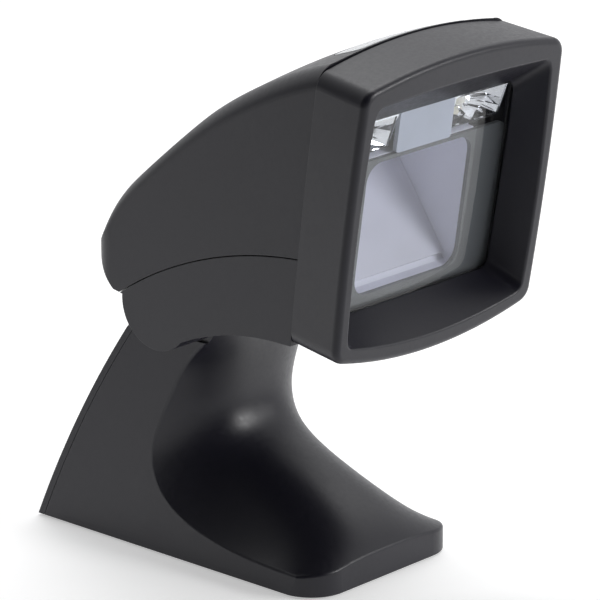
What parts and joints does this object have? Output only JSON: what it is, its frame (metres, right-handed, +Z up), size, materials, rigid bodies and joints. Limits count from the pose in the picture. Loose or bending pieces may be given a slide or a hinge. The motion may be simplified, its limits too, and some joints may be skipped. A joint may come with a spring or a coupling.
{
  "type": "hands-free counter barcode scanner",
  "caption": "Hands-free barcode scanner: a square-framed scan head with a deep-set window, tilting on a sculpted weighted stand, with an indicator button on its crown.",
  "frame": {"origin": "on the counter under the middle of the foot, on the non-slip pad's underside", "axes": "+Z up, -Y towards what is scanned (the window's side), +X across; X = 0 is the symmetry plane"},
  "size_m": [0.0782, 0.1269, 0.1487],
  "materials": {
    "charcoal_plastic": "fine matte moulded, slightly bluish charcoal",
    "zinc_steel": "zinc plated",
    "black_rubber": "matte",
    "cast_iron": "rough cast",
    "black_nylon": "fine matte",
    "gold_contact": "gold flash",
    "white_acetal": "satin",
    "clear_pane": "clear, polished",
    "grey_shroud": "satin grey",
    "light_shroud": "satin pale grey",
    "mirror_glass": "front-surface mirror",
    "lens_glass": "coated lens",
    "green_board": "solder-masked board",
    "black_chip": "moulded package",
    "chromed_plastic": "vacuum metallised, mirror bright",
    "lamp_lens": "warm translucent",
    "gloss_panel": "glossy grey-blue",
    "frosted_lens": "translucent white",
    "spring_steel": "bright wire"
  },
  "bodies": {
    "stand": {"stand_shell": "charcoal_plastic", "stand_rear_cover": "charcoal_plastic", "base_plate": "zinc_steel", "non_slip_pad": "black_rubber", "ballast_weight": "cast_iron", "cord_socket": "black_nylon", "cord_socket_pins": "gold_contact", "tilt_axle": "zinc_steel", "friction_washers": "white_acetal", "wave_washers": "zinc_steel", "axle_nuts": "zinc_steel", "base_screws": "zinc_steel", "cover_screws": "zinc_steel"},
    "head": {"upper_housing": "charcoal_plastic", "lower_housing": "charcoal_plastic", "housing_screws": "zinc_steel", "bezel": "charcoal_plastic", "window_pane": "clear_pane", "window_gasket": "black_rubber", "window_mask": "grey_shroud", "optical_shroud": "light_shroud", "fold_mirror": "mirror_glass", "lens_barrel": "black_nylon", "imager_lens": "lens_glass", "imager_board": "green_board", "imager_chip": "black_chip", "main_board": "green_board", "board_chips": "black_chip", "speaker": "black_nylon", "reflector_right": "chromed_plastic", "reflector_left": "chromed_plastic", "lamp_right": "lamp_lens", "lamp_left": "lamp_lens", "lamp_board": "green_board", "lamp_panel": "gloss_panel", "axle_bushes": "white_acetal", "button_spring": "spring_steel", "switch_board": "green_board", "tact_switch": "black_chip", "indicator_leds": "lamp_lens"},
    "button": {"indicator_button": "frosted_lens"}
  },
  "joints": [
    {"name": "head_tilt", "type": "hinge", "parent": "stand", "child": "head", "pos_m": [0, -0.0025, 0.0725], "axis": [-1, 0, 0], "range_deg": [-10, 15]},
    {"name": "button_press", "type": "slide", "parent": "head", "child": "button", "axis": [0, 0, -1], "range_m": [0, 0.0008], "stiffness_N_per_m": 800, "deforming": ["button_spring"]}
  ]
}
